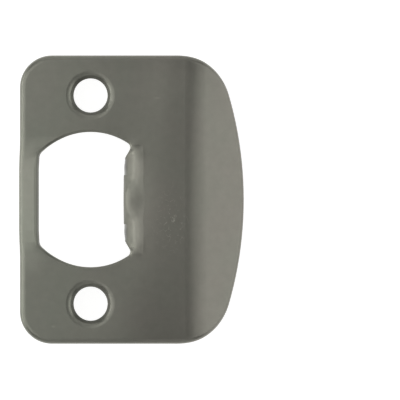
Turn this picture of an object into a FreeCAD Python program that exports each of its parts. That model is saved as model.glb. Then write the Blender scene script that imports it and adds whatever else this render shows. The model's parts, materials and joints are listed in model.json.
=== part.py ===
import FreeCAD, Part
import math
import os

# Door strike plate with a full lip: one blank of sheet steel, punched, coined and bent in a press.
# X runs across the plate towards the lip, Y along the line of the two screw holes, and Z out of
# the face that shows. The origin is half way between the screw holes, on the back of the sheet.

# Sheet
sheet = 1.5
edge_round = 1.2

# Outline, seen square on
plate_height = 57.15
plate_width = 44.45
straight_edge_to_holes = 14.0
corner_radius = 6.35
lip_corner_radius = 11.25
lip_edge_radius = 66.0

# Lip, with its width seen square on
lip_width = 11.75
lip_bend_inside_radius = 7.5
lip_angle = 28.0

# Screw holes
screw_hole_spacing = 41.275
screw_hole_bore = 6.75
screw_hole_land = 0.45
screw_hole_rim_round = 1.27
countersink_angle = 82.0

# Latch opening
opening_diameter = 26.8
opening_corner_radius = 1.5
opening_bevel = 0.45

# Web between the opening and the straight edge. The press leaves it twisted, inner edge up. The
# twist starts to fade a little before the opening's corner, and ends short of its highest point.
web_width = 4.0
web_twist = 18.0
web_fade_lead = 2.3
web_fade_stop = 0.95

# Tang, bent back from the lip side of the opening
tang_face = 6.5
tang_depth = 6.0
tang_bend_inside_radius = 0.1
tang_corner_radius = 1.8
tang_root_drop = 2.8
tang_root_end = 0.05

# Gussets, pressed into the two ends of the tang's bend
gusset_width = 3.0
gusset_fade_start = 1.2
gusset_growth = 1.5
gusset_angle = 45.0
gusset_reach = 4.13
gusset_rim_radius = 3.7
gusset_lean = 7.0
gusset_foot = 0.03
gusset_spread = 3.0
gusset_margin = 0.2

# Relief notches at the ends of the tang
notch_radius = 1.05
notch_limit = 7.87
notch_to_tang = 2.44
notch_inset = 0.35

# Room between the tang and the punch that clears its face
punch_clearance = 0.3

# Fineness of the pressed surfaces, and the distance at which two points count as one
ramp_steps = 5
stations = 3
web_steps = 2
touch = 0.01

# Values that follow from those above
half_height = plate_height / 2
left = -straight_edge_to_holes
right = left + plate_width
bend_start = right - lip_width
above = 2 * sheet
beyond = plate_width + plate_height
opening_radius = opening_diameter / 2
corner_x = left + web_width + opening_corner_radius
corner_y = math.sqrt((opening_radius - opening_corner_radius) ** 2 - corner_x ** 2)
corner_angle = math.degrees(math.atan2(corner_y, corner_x))
web_half_height = opening_radius - web_fade_stop
notch_x = notch_limit - notch_radius
notch_y = math.sqrt((opening_radius - notch_radius) ** 2 - notch_x ** 2)
tang_half_width = notch_y - notch_to_tang
tang_outer_radius = tang_bend_inside_radius + sheet
gusset_shift = tang_outer_radius + tang_depth * math.tan(math.radians(gusset_lean)) - (
    notch_limit - notch_inset - tang_face
)
patch_half_height = tang_half_width + gusset_spread
patch_right = tang_face + gusset_reach + 2 * gusset_margin


def vec(x, y, z):
    return FreeCAD.Vector(x, y, z)


def line(a, b):
    return Part.LineSegment(a, b).toShape()


def arc(a, middle, b):
    return Part.Arc(a, middle, b).toShape()


def spline(points):
    curve = Part.BSplineCurve()
    curve.interpolate(Points=points, Parameters=[k / (len(points) - 1) for k in range(len(points))])
    return curve.toShape()


def polar(centre, radius, angle):
    """Point on a circle in the plane of the sheet; the angle is in degrees from X."""
    turn = math.radians(angle)
    return centre + vec(radius * math.cos(turn), radius * math.sin(turn), 0)


def heading(centre, point):
    """Direction of a point from a centre, in degrees from X."""
    return math.degrees(math.atan2(point.y - centre.y, point.x - centre.x))


def middle_of(edge):
    return edge.valueAt((edge.FirstParameter + edge.LastParameter) / 2)


def across(point):
    """The same point on the other side of the plate's middle line."""
    return vec(point.x, -point.y, point.z)


def mirrored(edges):
    """The same run of edges on the other side of the middle line, walked back."""
    return [edge.mirror(vec(0, 0, 0), vec(0, 1, 0)) for edge in reversed(edges)]


def round_point(centre, radius, slope):
    """Point of a bend whose face leans by the slope there; its centre lies inside the bend."""
    return centre + vec(-radius * math.sin(slope), 0, radius * math.cos(slope))


def prism(edges, bottom, top):
    """Upright solid on a closed outline that is drawn at height 0."""
    face = Part.Face(Part.Wire(edges))
    face.translate(vec(0, 0, bottom))
    return face.extrude(vec(0, 0, top - bottom))


def box(x0, x1, y0, y1, z0, z1):
    return Part.makeBox(x1 - x0, y1 - y0, z1 - z0, vec(x0, y0, z0))


def plain_outline():
    """Outline seen square on, with its two plain corners; on the lip side it runs on past the lip."""
    centre = vec(left + corner_radius, half_height - corner_radius, 0)
    side = vec(left, centre.y, 0)
    top = vec(centre.x, half_height, 0)
    far = vec(beyond, half_height, 0)
    upper = [arc(side, polar(centre, corner_radius, 135), top), line(top, far)]
    return [line(across(side), side)] + upper + [line(far, across(far))] + mirrored(upper)


def lip_outline(tip):
    """Outline of the lip in its own plane, swelling in one long arc between its two corners."""
    edge_centre = vec(tip - lip_edge_radius, 0, 0)
    corner_y = half_height - lip_corner_radius
    between = lip_edge_radius - lip_corner_radius
    corner_centre = vec(edge_centre.x + math.sqrt(between ** 2 - corner_y ** 2), corner_y, 0)
    joint_angle = heading(edge_centre, corner_centre)
    joint = polar(edge_centre, lip_edge_radius, joint_angle)
    corner = polar(corner_centre, lip_corner_radius, (90 + joint_angle) / 2)
    top = vec(corner_centre.x, half_height, 0)
    far = vec(-beyond, half_height, 0)
    upper = [line(far, top), arc(top, corner, joint)]
    swell = arc(joint, vec(tip, 0, 0), across(joint))
    return upper + [swell] + mirrored(upper) + [line(across(far), far)]


def bent_strip():
    """The sheet before it is cut to its outline: flat as far as the bend, then turned back."""
    turn = math.radians(lip_angle)
    centre = vec(bend_start, 0, -lip_bend_inside_radius)
    lines = []
    for depth in (0.0, sheet):
        radius = lip_bend_inside_radius + sheet - depth
        height = sheet - depth
        start = vec(bend_start, 0, height)
        end = round_point(centre, radius, -turn)
        middle = round_point(centre, radius, -turn / 2)
        lip_end = end + vec(beyond * math.cos(turn), 0, -beyond * math.sin(turn))
        lines.append((vec(-beyond, 0, height), start, middle, end, lip_end))
    front, back = lines
    section = Part.Wire([
        line(front[0], front[1]),
        arc(front[1], front[2], front[3]),
        line(front[3], front[4]),
        line(front[4], back[4]),
        line(back[4], back[3]),
        arc(back[3], back[2], back[1]),
        line(back[1], back[0]),
        line(back[0], front[0]),
    ])
    section.translate(vec(0, -beyond, 0))
    return Part.Face(section).extrude(vec(0, 2 * beyond, 0)), front[3]


def depth_of(point):
    """How far a point of the sheet lies below the face that shows."""
    turn = math.radians(lip_angle)
    centre = vec(bend_start, point.y, -lip_bend_inside_radius)
    arm = point - centre
    if arm.x <= 0:
        return sheet - point.z
    if math.atan2(arm.x, arm.z) < turn:
        return lip_bend_inside_radius + sheet - arm.Length
    return lip_bend_inside_radius + sheet - arm.x * math.sin(turn) - arm.z * math.cos(turn)


def on_surface(face):
    first_u, last_u, first_v, last_v = face.ParameterRange
    return face.valueAt((first_u + last_u) / 2, (first_v + last_v) / 2)


def front_rim(blank):
    """Edges of the blank's outline in front: each one joins the face that shows to a cut."""
    found = []
    for edge in blank.Edges:
        faces = blank.ancestorsOfType(edge, Part.Face)
        cuts = [face for face in faces if touch < depth_of(on_surface(face)) < sheet - touch]
        if abs(depth_of(middle_of(edge))) < touch and len(cuts) == 1:
            found.append(edge)
    return found


def bent_sheet():
    """The blank with its lip bent and its front edge rolled over, as the die leaves it.

    Every edge is cut square to the sheet. On the lip the cut leans with it, and rolling its edge
    over takes a little off the width, which the blank gets back.
    """
    strip, lip_start = bent_strip()
    turn = math.radians(lip_angle)
    rolled_off = edge_round * (math.cos(turn) + math.sin(turn) - 1)
    tip = (right + rolled_off - lip_start.x) / math.cos(turn)
    lip_cut = prism(lip_outline(tip), -beyond, beyond)
    lip_cut.rotate(vec(0, 0, 0), vec(0, 1, 0), lip_angle)
    lip_cut.translate(lip_start)
    blank = strip.common(prism(plain_outline(), -beyond, beyond)).common(lip_cut).Solids[0]
    return blank.makeFillet(edge_round, front_rim(blank))


def screw_hole():
    """What the press takes out for one screw: bore, countersink and the sunk rim round it."""
    slope = math.radians(90 - countersink_angle / 2)
    bore_radius = screw_hole_bore / 2
    rim_drop = screw_hole_rim_round * (1 - math.cos(slope))
    rim_width = screw_hole_rim_round * math.sin(slope)
    cone_bottom = vec(bore_radius, 0, screw_hole_land)
    cone_height = sheet - rim_drop - screw_hole_land
    cone_top = cone_bottom + vec(cone_height / math.tan(slope), 0, cone_height)
    rim_end = vec(cone_top.x + rim_width, 0, sheet)
    rim_centre = rim_end - vec(0, 0, screw_hole_rim_round)
    rim_middle = round_point(rim_centre, screw_hole_rim_round, slope / 2)
    edges = [
        line(vec(0, 0, -above), vec(bore_radius, 0, -above)),
        line(vec(bore_radius, 0, -above), cone_bottom),
        line(cone_bottom, cone_top),
        arc(cone_top, rim_middle, rim_end),
        line(rim_end, vec(rim_end.x, 0, above)),
        line(vec(rim_end.x, 0, above), vec(0, 0, above)),
        line(vec(0, 0, above), vec(0, 0, -above)),
    ]
    return Part.Face(Part.Wire(edges)).revolve(vec(0, 0, 0), vec(0, 0, 1), 360)


def opening_outline():
    """Latch opening seen square on: a round hole, flat beside the web and notched by the tang.

    The round edge runs on into each notch, and from there a straight cut frees the end of the
    tang's bend.
    """
    middle = vec(0, 0, 0)
    corner_centre = vec(corner_x, corner_y, 0)
    flat_end = vec(left + web_width, corner_y, 0)
    corner_end = polar(middle, opening_radius, corner_angle)
    corner = polar(corner_centre, opening_corner_radius, (180 + corner_angle) / 2)

    notch_centre = vec(notch_x, notch_y, 0)
    notch_angle = heading(middle, notch_centre)
    notch_start = polar(middle, opening_radius, notch_angle)
    round_middle = polar(middle, opening_radius, (corner_angle + notch_angle) / 2)

    tang_end = vec(tang_face, tang_half_width, 0)
    reach = tang_end.distanceToPoint(notch_centre)
    cut_angle = heading(tang_end, notch_centre) - math.degrees(math.asin(notch_radius / reach))
    cut_start = polar(notch_centre, notch_radius, cut_angle - 90)
    notch_middle = polar(notch_centre, notch_radius, (cut_angle - 90 + notch_angle) / 2)
    cut_end = polar(tang_end, -punch_clearance, cut_angle)

    upper = [
        arc(flat_end, corner, corner_end),
        arc(corner_end, round_middle, notch_start),
        arc(notch_start, notch_middle, cut_start),
        line(cut_start, cut_end),
    ]
    web_side = line(across(flat_end), flat_end)
    tang_side = line(cut_end, across(cut_end))
    return [web_side] + upper + [tang_side] + mirrored(upper)


def opening():
    """The punch that makes the latch opening, with a wide flange that breaks its front edge."""
    punch = prism(opening_outline(), -beyond, sheet)
    flange = box(-beyond, beyond, -beyond, beyond, sheet, above)
    tool = punch.fuse(flange).Solids[0]
    rim = [
        edge for edge in tool.Edges
        if abs(middle_of(edge).z - sheet) < touch and middle_of(edge).Length < plate_width
    ]
    return tool.makeChamfer(opening_bevel, rim)


def ease(share):
    """Share from 0 to 1 that starts and ends level."""
    share = min(max(share, 0.0), 1.0)
    return share * share * (3 - 2 * share)


def web_side_of_opening(y, set_back):
    """X of the opening's edge beside the web, or of a line set back from it into the sheet."""
    y = abs(y)
    corner_run = opening_corner_radius + set_back
    round_run = opening_radius + set_back
    if y <= corner_y:
        return corner_x - corner_run
    if y < round_run * math.sin(math.radians(corner_angle)):
        return corner_x - math.sqrt(corner_run ** 2 - (y - corner_y) ** 2)
    return -math.sqrt(round_run ** 2 - y ** 2)


def web_section(y, twist):
    """Section of the web square to the straight edge, turned up about its outer back corner."""
    bulge = edge_round * (1 - math.sqrt(0.5))
    corner = vec(left, y, 0)
    side = vec(left, y, sheet - edge_round)
    rolled = vec(left + bulge, y, sheet - bulge)
    front = vec(left + edge_round, y, sheet)
    rim = vec(web_side_of_opening(y, opening_bevel), y, sheet)
    wall = vec(web_side_of_opening(y, 0), y, sheet - opening_bevel)
    back = vec(wall.x, y, 0)
    section = Part.Wire([
        line(corner, side),
        arc(side, rolled, front),
        line(front, rim),
        line(rim, wall),
        line(wall, back),
        line(back, corner),
    ])
    section.rotate(corner, vec(0, 1, 0), -twist)
    return section


def web():
    """The twisted web: an even twist along its middle, which fades out beside the round edge."""
    full = corner_y - web_fade_lead
    round_start = (opening_radius + opening_bevel) * math.sin(math.radians(corner_angle))
    flat_end = (full, corner_y, 1)
    corner = (corner_y, round_start, web_steps)
    round_end = (round_start, web_half_height, web_steps)
    pieces = [Part.Face(web_section(-full, web_twist)).extrude(vec(0, 2 * full, 0))]
    for side in (1, -1):
        for first, last, steps in (flat_end, corner, round_end):
            sections = []
            for step in range(steps + 1):
                y = first + (last - first) * step / steps
                fade = ease((web_half_height - y) / (web_half_height - full))
                sections.append(web_section(side * y, web_twist * fade))
            pieces.append(Part.makeLoft(sections, True, False))
    return pieces


def tang_section(y, ramp, lean, shift):
    """Section of the bent tang square to its bend, with a strip of the flat plate beside it.

    From the flat the face rolls over a rim into a ramp, turns the corner of the bend and runs
    down the tang. The back follows it one sheet further in, with a crease under the rim.
    """
    slope = math.radians(ramp)
    face_slope = math.radians(90 - lean)
    fall = math.tan(math.radians(lean))
    down = vec(-math.cos(face_slope), 0, -math.sin(face_slope))
    along = vec(-math.cos(slope), 0, -math.sin(slope))
    rim_start = vec(tang_face + gusset_reach, 0, sheet)
    rim_centre = rim_start - vec(0, 0, gusset_rim_radius)
    rim_end = round_point(rim_centre, gusset_rim_radius, slope)
    corner_drop = tang_outer_radius * (math.cos(slope) - math.cos(face_slope))
    corner_run = tang_outer_radius * (math.sin(face_slope) - math.sin(slope))
    foot = tang_face - shift + gusset_foot * lean / gusset_lean
    foot_height = sheet - tang_depth
    face_run = fall * (rim_end.z - corner_drop - foot_height)
    ramp_run = rim_end.x - corner_run - foot - face_run
    ramp_length = ramp_run / (math.cos(slope) - fall * math.sin(slope))
    ramp_end = rim_end + along * ramp_length
    corner_centre = ramp_end - round_point(vec(0, 0, 0), tang_outer_radius, slope)

    rim_length = gusset_rim_radius * slope
    easy = []
    for step in range(ramp_steps + 1):
        travel = (gusset_margin + rim_length + ramp_length) * step / ramp_steps - gusset_margin
        if travel < 0:
            easy.append(rim_start - vec(travel, 0, 0))
        elif travel < rim_length:
            easy.append(round_point(rim_centre, gusset_rim_radius, travel / gusset_rim_radius))
        else:
            easy.append(rim_end + along * (travel - rim_length))
    turn_middle = round_point(corner_centre, tang_outer_radius, (slope + face_slope) / 2)
    turn_end = round_point(corner_centre, tang_outer_radius, face_slope)
    front_end = turn_end + down * ((turn_end.z - foot_height) / math.sin(face_slope))

    crease = rim_start - vec((gusset_rim_radius - sheet) * math.tan(slope / 2), 0, sheet)
    bend_back = round_point(corner_centre, tang_bend_inside_radius, slope)
    face_back = round_point(corner_centre, tang_bend_inside_radius, face_slope)
    back_end = face_back + down * ((face_back.z - foot_height) / math.sin(face_slope))
    section = Part.Wire([
        line(vec(patch_right, 0, sheet), easy[0]),
        spline(easy),
        arc(easy[-1], turn_middle, turn_end),
        line(turn_end, front_end),
        line(front_end, back_end),
        line(back_end, face_back),
        line(face_back, bend_back),
        line(bend_back, crease),
        line(crease, vec(patch_right, 0, 0)),
        line(vec(patch_right, 0, 0), vec(patch_right, 0, sheet)),
    ])
    section.translate(vec(0, y, 0))
    return section


def tang_shape():
    """The tang seen along X: straight sides, rounded free corners and a root that flares out."""
    foot = sheet - tang_depth
    side = vec(0, tang_half_width, foot + tang_corner_radius)
    end = vec(0, tang_half_width - tang_corner_radius, foot)
    bulge = tang_corner_radius * math.sqrt(0.5)
    corner = vec(0, end.y + bulge, side.z - bulge)
    root = vec(0, tang_half_width, -tang_root_drop)
    flare = vec(0, patch_half_height, -tang_root_end)
    upper = vec(0, patch_half_height, above)
    face = Part.Face(Part.Wire([
        line(upper, flare),
        line(flare, root),
        line(root, side),
        arc(side, corner, end),
        line(end, across(end)),
        arc(across(end), across(corner), across(side)),
        line(across(side), across(root)),
        line(across(root), across(flare)),
        line(across(flare), across(upper)),
        line(across(upper), upper),
    ]))
    return face.extrude(vec(2 * patch_right, 0, 0))


def tang():
    """The tang and its bend: plain in the middle, and pressed into a gusset at each end."""
    half_inner = tang_half_width - gusset_width
    half_start = gusset_fade_start / 2
    middle = []
    for step in range(-stations, stations + 1):
        y = half_inner * step / stations
        share = max(abs(y) - half_start, 0.0) / (half_inner - half_start)
        middle.append(tang_section(y, gusset_angle * share ** gusset_growth, 0.0, 0.0))
    pieces = [Part.makeLoft(middle, True, False)]
    for side in (1, -1):
        sections = []
        for step in range(2 * stations + 1):
            y = half_inner + (patch_half_height - half_inner) * step / (2 * stations)
            fade = ease((y - tang_half_width) / gusset_spread)
            sections.append(
                tang_section(side * y, gusset_angle * (1 - fade), gusset_lean, gusset_shift * fade)
            )
        pieces.append(Part.makeLoft(sections, True, False))
    shape = tang_shape()
    return [piece.common(shape) for piece in pieces]


def strike_plate():
    """The bent sheet with its tang, its opening and then its twisted web let in, and its holes."""
    tang_room = box(0, patch_right, -patch_half_height, patch_half_height, -above, above)
    web_room = box(-beyond, 0, -web_half_height, web_half_height, -above, above)
    plate = bent_sheet().cut(tang_room).fuse(tang()).cut(opening())
    plate = plate.cut(web_room).fuse(web())
    for side in (1, -1):
        hole = screw_hole()
        hole.translate(vec(0, side * screw_hole_spacing / 2, 0))
        plate = plate.cut(hole)
    return plate.Solids[0]


def main():
    os.makedirs("parts", exist_ok=True)
    plate = strike_plate()
    print("solid", plate.isValid(), round(plate.Volume, 1), "mm3")
    plate.exportStep("parts/strike_plate.step")


main()
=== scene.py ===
import json
import math

import bpy
from mathutils import Matrix, Vector

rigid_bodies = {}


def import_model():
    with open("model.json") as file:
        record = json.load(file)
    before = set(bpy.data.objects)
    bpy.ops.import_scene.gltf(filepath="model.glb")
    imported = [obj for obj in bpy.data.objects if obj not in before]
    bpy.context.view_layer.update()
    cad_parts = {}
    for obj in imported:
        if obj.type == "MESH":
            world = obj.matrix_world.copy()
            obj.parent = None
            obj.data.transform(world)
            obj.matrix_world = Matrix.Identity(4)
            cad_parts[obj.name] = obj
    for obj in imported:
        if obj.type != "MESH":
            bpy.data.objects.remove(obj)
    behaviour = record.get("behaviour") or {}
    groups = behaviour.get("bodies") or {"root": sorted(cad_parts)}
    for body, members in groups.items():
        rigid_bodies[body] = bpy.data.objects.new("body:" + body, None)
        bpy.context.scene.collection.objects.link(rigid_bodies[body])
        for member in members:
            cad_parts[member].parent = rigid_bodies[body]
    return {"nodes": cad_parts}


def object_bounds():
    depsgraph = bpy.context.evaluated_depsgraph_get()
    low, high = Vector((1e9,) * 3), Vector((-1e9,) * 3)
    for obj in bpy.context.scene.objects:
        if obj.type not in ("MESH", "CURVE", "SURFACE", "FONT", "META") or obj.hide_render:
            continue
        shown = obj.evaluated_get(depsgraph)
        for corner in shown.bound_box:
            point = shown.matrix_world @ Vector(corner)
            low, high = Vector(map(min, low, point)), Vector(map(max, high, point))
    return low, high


# Door strike plate: one piece of sheet steel with a satin nickel finish, seen square on, lying on
# a white table in a small light tent.

MM = 0.001
MATHS = "ShaderNodeMath"
VECTORS = "ShaderNodeVectorMath"

# Camera: the photograph is square, and its scale is taken from the spacing of the screw holes.
PICTURE_PIXELS = 400
HOLE_SPACING_MM = 41.275
HOLE_SPACING_PIXELS = 208.1
ORIGIN_PIXEL_X = 90.67
ORIGIN_PIXEL_Y = 199.59
CAMERA_HEIGHT_MM = 475.0
SENSOR_MM = 36.0


def clear_scene():
    for thing in list(bpy.data.objects):
        bpy.data.objects.remove(thing)


def linear(hex_colour):
    """sRGB hex text to linear red, green, blue and alpha."""
    levels = [int(hex_colour[i:i + 2], 16) / 255 for i in (1, 3, 5)]
    return [v / 12.92 if v <= 0.04045 else ((v + 0.055) / 1.055) ** 2.4 for v in levels] + [1.0]


def add(tree, kind, settings=None, **inputs):
    """One node with its settings. An input is a value, or an output socket to link."""
    node = tree.nodes.new(kind)
    for name, value in (settings or {}).items():
        setattr(node, name, value)
    for name, value in inputs.items():
        socket = node.inputs[int(name[1:])] if name[0] == "_" else node.inputs[name.replace("_", " ")]
        if isinstance(value, bpy.types.NodeSocket):
            tree.links.new(value, socket)
        else:
            socket.default_value = value
    return node


def new_material(name):
    material = bpy.data.materials.new(name)
    material.use_nodes = True
    material.node_tree.nodes.clear()
    return material, material.node_tree


# Plate finish: steel with a plated satin nickel coat, tumbled before plating, so it has a soft
# even sheen. Its colour is painted greener towards the straight edge and warmer towards the lip,
# a painted tint of the lamps' light, with the coat's own faint clouds and mottling.
NICKEL_GREEN = "#7D7F75"
NICKEL_WARM = "#807E76"
WARM_AT_HOLES = 0.4
PAINTED_LAMP_WARMTH_PER_MM = 0.017
CLOUD_MM = 9.0
CLOUD_DETAIL = 2.0
CLOUD_TINT = 1.2
MOTTLE_MM = 1.6
MOTTLE_DETAIL = 3.0
MOTTLE = 0.16
NICKEL_ROUGHNESS = 0.4
ROUGHNESS_SPREAD = 0.05

# The grain of a tumbled part is finer than this. It is drawn as coarse as it needs to show.
GRAIN_MM = 0.35
GRAIN_DETAIL = 3.0
GRAIN_DEPTH_MM = 0.002
GRAIN_STRENGTH = 0.5

# Soft swells and dishes that the press leaves in the sheet round what it forms, too shallow to
# change the outline: place across and up the plate, reach across and up, and rise, all in mm.
TANG_DISH = (6.6, 0.0, 3.2, 7.5, -0.42)
TANG_FOLD = (8.9, 0.0, 0.8, 3.2, 0.05)
WEB_DISH = (-14.4, -9.7, 2.4, 2.6, -0.36)
LOWER_SWELL = (9.5, -24.0, 6.0, 9.0, 0.36)
UPPER_SWELL = (15.5, 22.0, 2.6, 7.0, 0.12)
LIP_CORNER = (27.5, 28.0, 5.0, 7.0, 0.75)
SWELLS = (TANG_DISH, TANG_FOLD, WEB_DISH, LOWER_SWELL, UPPER_SWELL, LIP_CORNER)

# The same round each gusset: its far end, and its foot and its fold beside the plain bend.
GUSSET_END = (8.8, 9.2, 0.8, 1.0, 0.25)
GUSSET_FOOT = (6.2, 3.1, 0.7, 0.8, -0.3)
GUSSET_FOLD = (8.4, 3.0, 0.8, 1.0, 0.24)
GUSSET_SWELLS = (GUSSET_END, GUSSET_FOOT, GUSSET_FOLD)

# The rim of each countersink is a little softer than its form: the upper bore's place, the radii
# that the rise lies between, and the rise at the inner one.
BORE_PLACE_MM = (0.0, 20.64)
RIM_MM = (3.95, 4.85)
RIM_RISE_MM = 0.03

# Painted shade: the bores' lands are darkened out to a radius, and the web's cut edge from a
# place across the plate to its opening, fading out past half its length. A tone is the share of
# the colour that they keep. The painted shade on the gussets' cut ends is a mound of tone: place,
# reaches and change.
BORE_RING_MM = 3.95
BORE_SHADE_TONE = 0.62
WEB_EDGE_MM = -10.62
WEB_HALF_MM = 7.6
WEB_FADE_MM = 2.0
WEB_SHADE_TONE = 0.66
EDGE_SOFT_MM = 0.06
GUSSET_CUT_SHADE = (6.85, 6.65, 0.24, 1.2, -0.6)

# Painted shade: a little darker towards both ends, at the lower middle and in the corner of the bend.
# Painted highlight: the straight edge, the far side of the bend and the gussets' tips. Places and
# reaches as for the swells, then how much lighter or darker.
END_PAINTED_SHADE = (10.0, 29.5, 11.0, 3.2, -0.11)
LOWER_PAINTED_SHADE = (7.0, -22.5, 4.5, 5.5, -0.09)
CORNER_PAINTED_SHADE = (18.6, 28.5, 2.0, 2.5, -0.16)
EDGE_PAINTED_HIGHLIGHT = (-13.9, 0.0, 0.6, 14.0, 0.13)
BEND_PAINTED_HIGHLIGHT = (20.1, -2.5, 0.6, 8.5, 0.15)
TIP_PAINTED_HIGHLIGHT = (7.9, 9.9, 0.45, 0.6, 0.6)

# Wear: a patch of fine scratches beside the bend, and two single flecks. The scratches follow the
# edges of small cells. Noise of half a cell's size breaks them up: they fade in between two of its
# levels.
SCRATCH_PATCH = (16.0, -4.2, 1.7, 3.6)
SCRATCH_SPACING_MM = 1.2
SCRATCH_WIDTH_MM = 0.12
SCRATCH_BREAKS = (0.5, 0.62)
SCRATCH_TONE = 0.9
UPPER_FLECK = (13.2, 20.1, 0.4, 0.12, 0.2)
LOWER_FLECK = (-7.3, -25.1, 0.25, 0.15, 0.25)


def mound(tree, place, x, y, reach_x, reach_y):
    """Bell-shaped mound of height 1 at a place of the plate in mm, seen square on."""
    near = add(
        tree, "ShaderNodeMapping", Vector=place, Location=(-x / reach_x, -y / reach_y, 0),
        Scale=(1 / (reach_x * MM), 1 / (reach_y * MM), 0),
    )
    away = add(tree, VECTORS, {"operation": "DOT_PRODUCT"}, _0=near.outputs[0], _1=near.outputs[0])
    fall = add(tree, MATHS, {"operation": "MULTIPLY"}, _0=away.outputs["Value"], _1=-0.5)
    return add(tree, MATHS, {"operation": "EXPONENT"}, _0=fall.outputs[0]).outputs[0]


def with_mounds(tree, place, value, mounds):
    """The value plus a mound for each x, y, reach_x, reach_y and rise."""
    for x, y, reach_x, reach_y, rise in mounds:
        shape = mound(tree, place, x, y, reach_x, reach_y)
        total = add(tree, MATHS, {"operation": "MULTIPLY_ADD"}, _0=shape, _1=rise, _2=value)
        value = total.outputs[0]
    return value


def tint_of_coat_and_lamps(tree, place, x):
    """Colour between green and warm nickel: a painted tint of the lamps' light by the place across the
    plate, and the coat's own clouds.
    """
    clouds = add(
        tree, "ShaderNodeTexNoise", Vector=place, Scale=1 / (CLOUD_MM * MM), Detail=CLOUD_DETAIL
    )
    cloud = add(
        tree, MATHS, {"operation": "MULTIPLY_ADD"},
        _0=clouds.outputs["Fac"], _1=CLOUD_TINT, _2=WARM_AT_HOLES - CLOUD_TINT / 2,
    )
    # Painted tint of the lamps' light: warmer across the plate towards the lip.
    warm = add(
        tree, MATHS, {"operation": "MULTIPLY_ADD"}, _0=x, _1=PAINTED_LAMP_WARMTH_PER_MM / MM, _2=cloud.outputs[0]
    )
    return add(
        tree, "ShaderNodeMix", {"data_type": "RGBA"}, Factor=warm.outputs[0],
        _6=linear(NICKEL_GREEN), _7=linear(NICKEL_WARM),
    ).outputs[2]


def wear_and_painted_light(tree, place, tone):
    """The coat's tone with the scratches and the flecks, and with painted highlights on the straight
    edge and the bend and painted shade at the lower middle and in the bend's corner.
    """
    cells = add(
        tree, "ShaderNodeTexVoronoi", {"feature": "DISTANCE_TO_EDGE"},
        Vector=place, Scale=1 / (SCRATCH_SPACING_MM * MM),
    )
    line = add(
        tree, "ShaderNodeMapRange", Value=cells.outputs["Distance"],
        From_Min=SCRATCH_WIDTH_MM / 2 / SCRATCH_SPACING_MM, From_Max=0.0, To_Min=0.0, To_Max=1.0,
    )
    gaps = add(tree, "ShaderNodeTexNoise", Vector=place, Scale=2 / (SCRATCH_SPACING_MM * MM))
    broken = add(
        tree, "ShaderNodeMapRange", Value=gaps.outputs["Fac"],
        From_Min=SCRATCH_BREAKS[0], From_Max=SCRATCH_BREAKS[1], To_Min=0.0, To_Max=SCRATCH_TONE,
    )
    patch = mound(tree, place, *SCRATCH_PATCH)
    strength = add(tree, MATHS, {"operation": "MULTIPLY"}, _0=broken.outputs[0], _1=patch)
    tone = add(
        tree, MATHS, {"operation": "MULTIPLY_ADD"},
        _0=line.outputs[0], _1=strength.outputs[0], _2=tone,
    )
    # Painted shade at the lower middle and in the bend's corner, painted highlights on the straight
    # edge and the bend, and the flecks of wear.
    painted_light_and_flecks = (LOWER_PAINTED_SHADE, CORNER_PAINTED_SHADE, EDGE_PAINTED_HIGHLIGHT, BEND_PAINTED_HIGHLIGHT, UPPER_FLECK, LOWER_FLECK)
    return with_mounds(tree, place, tone.outputs[0], painted_light_and_flecks)


def painted_shade_and_highlight(tree, folded, from_bore, x, y, tone):
    """The tone with painted shade on the bores' lands, the web's cut edge, the gussets' cut ends and
    towards the plate's ends, and a painted highlight on the gussets' tips.
    """
    # Painted shade on the gussets' cut ends and towards both ends of the plate, and a painted
    # highlight on the gussets' tips.
    tone = with_mounds(tree, folded, tone, (GUSSET_CUT_SHADE, TIP_PAINTED_HIGHLIGHT, END_PAINTED_SHADE))
    # Painted shade: the bores' lands darker out to a radius.
    ring = add(
        tree, "ShaderNodeMapRange", Value=from_bore,
        From_Min=(BORE_RING_MM - EDGE_SOFT_MM) * MM, From_Max=(BORE_RING_MM + EDGE_SOFT_MM) * MM,
        To_Min=BORE_SHADE_TONE, To_Max=1.0,
    )
    # Painted shade: the web's cut edge darker, fading out past half its length.
    past = add(
        tree, "ShaderNodeMapRange", Value=x,
        From_Min=(WEB_EDGE_MM - EDGE_SOFT_MM) * MM, From_Max=(WEB_EDGE_MM + EDGE_SOFT_MM) * MM,
        To_Min=1.0, To_Max=WEB_SHADE_TONE,
    )
    over = add(tree, MATHS, {"operation": "GREATER_THAN"}, _0=x, _1=0.0)
    above = add(
        tree, "ShaderNodeMapRange", Value=y,
        From_Min=WEB_HALF_MM * MM, From_Max=(WEB_HALF_MM + WEB_FADE_MM) * MM,
    )
    beside = add(tree, MATHS, {"operation": "MAXIMUM"}, _0=over.outputs[0], _1=above.outputs[0])
    strip = add(tree, MATHS, {"operation": "MAXIMUM"}, _0=past.outputs[0], _1=beside.outputs[0])
    both = add(tree, MATHS, {"operation": "MULTIPLY"}, _0=ring.outputs[0], _1=strip.outputs[0])
    return add(tree, MATHS, {"operation": "MULTIPLY"}, _0=tone, _1=both.outputs[0]).outputs[0]


def press_relief(tree, place, folded, from_bore):
    """Height in mm of the swells and dishes, with those of the gussets and the rims."""
    rim = add(
        tree, "ShaderNodeMapRange", {"interpolation_type": "SMOOTHSTEP"}, Value=from_bore,
        From_Min=RIM_MM[0] * MM, From_Max=RIM_MM[1] * MM, To_Min=RIM_RISE_MM, To_Max=0.0,
    )
    height = with_mounds(tree, place, rim.outputs[0], SWELLS)
    return with_mounds(tree, folded, height, GUSSET_SWELLS)


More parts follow.
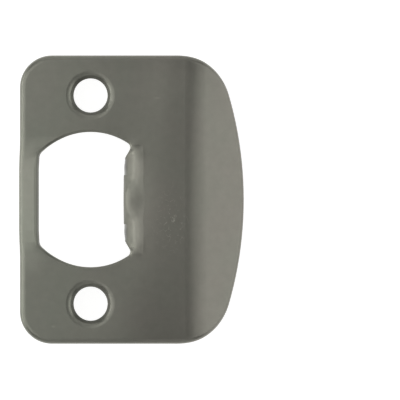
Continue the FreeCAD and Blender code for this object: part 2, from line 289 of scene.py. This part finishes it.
def satin_nickel():
    """The plate's finish. Folded is the place with one half of the plate laid on the other."""
    material, tree = new_material("satin_nickel_plated_steel")
    place = add(tree, "ShaderNodeTexCoord").outputs["Object"]
    along = add(tree, "ShaderNodeSeparateXYZ", Vector=place)
    x = along.outputs["X"]
    y = add(tree, MATHS, {"operation": "ABSOLUTE"}, _0=along.outputs["Y"]).outputs[0]
    folded = add(tree, "ShaderNodeCombineXYZ", X=x, Y=y).outputs[0]
    from_bore = add(
        tree, VECTORS, {"operation": "DISTANCE"}, _0=folded, _1=[at * MM for at in (*BORE_PLACE_MM, 0)]
    ).outputs["Value"]

    mottle = add(
        tree, "ShaderNodeTexNoise", Vector=place, Scale=1 / (MOTTLE_MM * MM), Detail=MOTTLE_DETAIL
    )
    tone = add(
        tree, MATHS, {"operation": "MULTIPLY_ADD"},
        _0=mottle.outputs["Fac"], _1=MOTTLE, _2=1 - MOTTLE / 2,
    )
    # The tone holds painted shade and painted highlights besides the mottling and the wear.
    tone = painted_shade_and_highlight(tree, folded, from_bore, x, y, wear_and_painted_light(tree, place, tone.outputs[0]))
    colour = add(
        tree, VECTORS, {"operation": "SCALE"}, _0=tint_of_coat_and_lamps(tree, place, x), Scale=tone
    )

    grain = add(
        tree, "ShaderNodeTexNoise", Vector=place, Scale=1 / (GRAIN_MM * MM), Detail=GRAIN_DETAIL
    )
    gloss = add(
        tree, "ShaderNodeMapRange", Value=grain.outputs["Fac"],
        To_Min=NICKEL_ROUGHNESS - ROUGHNESS_SPREAD, To_Max=NICKEL_ROUGHNESS + ROUGHNESS_SPREAD,
    )
    height = press_relief(tree, place, folded, from_bore)
    swells = add(tree, "ShaderNodeBump", Height=height, Strength=1.0, Distance=MM)
    bump = add(
        tree, "ShaderNodeBump", Height=grain.outputs["Fac"], Strength=GRAIN_STRENGTH,
        Distance=GRAIN_DEPTH_MM * MM, Normal=swells.outputs["Normal"],
    )
    shader = add(
        tree, "ShaderNodeBsdfPrincipled", Metallic=1.0, Base_Color=colour.outputs["Vector"],
        Roughness=gloss.outputs["Result"], Normal=bump.outputs["Normal"],
    )
    add(tree, "ShaderNodeOutputMaterial", Surface=shader.outputs["BSDF"])
    return material


# Table: plain white board. For the camera, and in what metal mirrors, it shows a little brighter
# than it is lit, so that it reads as the white of the photograph and keeps a faint shadow. It
# reaches 2 m to each side.
TABLE_WHITE = "#B4B4B2"
TABLE_GLOW = 0.83
TABLE_REACH = 2.0


def white_table():
    material, tree = new_material("white_table_board")
    rays = add(tree, "ShaderNodeLightPath")
    seen = add(
        tree, MATHS, {"operation": "MAXIMUM"},
        _0=rays.outputs["Is Camera Ray"], _1=rays.outputs["Is Glossy Ray"],
    )
    seen = add(
        tree, MATHS, {"operation": "MAXIMUM"},
        _0=seen.outputs[0], _1=rays.outputs["Is Transmission Ray"],
    )
    strength = add(tree, MATHS, {"operation": "MULTIPLY"}, _0=seen.outputs[0], _1=TABLE_GLOW)
    lit = add(tree, "ShaderNodeBsdfDiffuse", Color=linear(TABLE_WHITE))
    glow = add(tree, "ShaderNodeEmission", Strength=strength.outputs[0])
    both = add(tree, "ShaderNodeAddShader", _0=lit.outputs[0], _1=glow.outputs[0])
    add(tree, "ShaderNodeOutputMaterial", Surface=both.outputs[0])
    return material


def table(height):
    """Flat board at the height of the plate's underside."""
    mesh = bpy.data.meshes.new("table")
    corners = [(-1, -1), (1, -1), (1, 1), (-1, 1)]
    places = [(x * TABLE_REACH, y * TABLE_REACH, height) for x, y in corners]
    mesh.from_pydata(places, [], [(0, 1, 2, 3)])
    mesh.materials.append(white_table())
    top = bpy.data.objects.new("table", mesh)
    bpy.context.scene.collection.objects.link(top)


# Lights: a small light tent, its sizes in metres. Long soft panels stand round the plate, all as
# far from its middle. Each has the side it stands on, its angle from overhead in degrees, and its
# level. The left side is the stronger, and straight overhead there is no panel, so the flat is
# darker than the lip.
TENT_MIDDLE = Vector((0.008, 0.0, 0.0))
TENT_RADIUS = 0.3
PANEL_LENGTH = 0.36
PANEL_WIDTH = 0.105
PANELS = (
    ("left", 15, 1.1), ("left", 30, 0.35), ("left", 45, 1.65), ("left", 60, 0.15), ("left", 75, 2.6),
    ("right", 30, 0.6), ("right", 45, 0.75), ("right", 60, 0.85), ("right", 75, 1.35),
    ("top", 20, 0.35), ("top", 45, 0.7), ("top", 70, 1.2),
    ("bottom", 45, 0.65), ("bottom", 70, 0.75),
)
SIDES = {"left": (-1, 0), "right": (1, 0), "top": (0, 1), "bottom": (0, -1)}
ROOM_LEVEL = 0.08


def panel(side, angle, level):
    """Soft panel that faces the middle of the tent. Level 1 shows in a mirror as white."""
    out = Vector((*SIDES[side], 0.0))
    turn = math.radians(angle)
    towards = out * math.sin(turn) + Vector((0, 0, math.cos(turn)))
    along = towards.cross(out).normalized()
    light = bpy.data.lights.new("panel_%s_%d" % (side, angle), "AREA")
    light.shape = "RECTANGLE"
    light.size = PANEL_LENGTH
    light.size_y = PANEL_WIDTH
    light.energy = level * math.pi * PANEL_LENGTH * PANEL_WIDTH
    lamp = bpy.data.objects.new(light.name, light)
    turned = Matrix((along, towards.cross(along), towards)).transposed()
    lamp.matrix_world = Matrix.Translation(TENT_MIDDLE + towards * TENT_RADIUS) @ turned.to_4x4()
    bpy.context.scene.collection.objects.link(lamp)


def lights():
    for side, angle, level in PANELS:
        panel(side, angle, level)
    world = bpy.data.worlds.new("room")
    world.use_nodes = True
    world.node_tree.nodes.clear()
    even = add(world.node_tree, "ShaderNodeBackground", Color=[1, 1, 1, 1], Strength=ROOM_LEVEL)
    add(world.node_tree, "ShaderNodeOutputWorld", Surface=even.outputs[0])
    bpy.context.scene.world = world


def camera():
    """Looks straight down at the plate, with the back of its sheet at the photograph's scale."""
    mm_per_pixel = HOLE_SPACING_MM / HOLE_SPACING_PIXELS
    middle = PICTURE_PIXELS / 2
    data = bpy.data.cameras.new("camera")
    data.sensor_width = SENSOR_MM
    data.lens = SENSOR_MM * CAMERA_HEIGHT_MM / (PICTURE_PIXELS * mm_per_pixel)
    view = bpy.data.objects.new("camera", data)
    view.location = (
        (middle - ORIGIN_PIXEL_X) * mm_per_pixel * MM,
        (ORIGIN_PIXEL_Y - middle) * mm_per_pixel * MM,
        CAMERA_HEIGHT_MM * MM,
    )
    bpy.context.scene.collection.objects.link(view)
    bpy.context.scene.camera = view


clear_scene()
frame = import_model()
bpy.context.view_layer.update()
cad_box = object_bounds()

plate = frame["nodes"]["strike_plate"]
plate.material_slots[0].material = satin_nickel()

table(cad_box[0].z)
lights()
camera()
bpy.context.scene.view_settings.view_transform = "Standard"
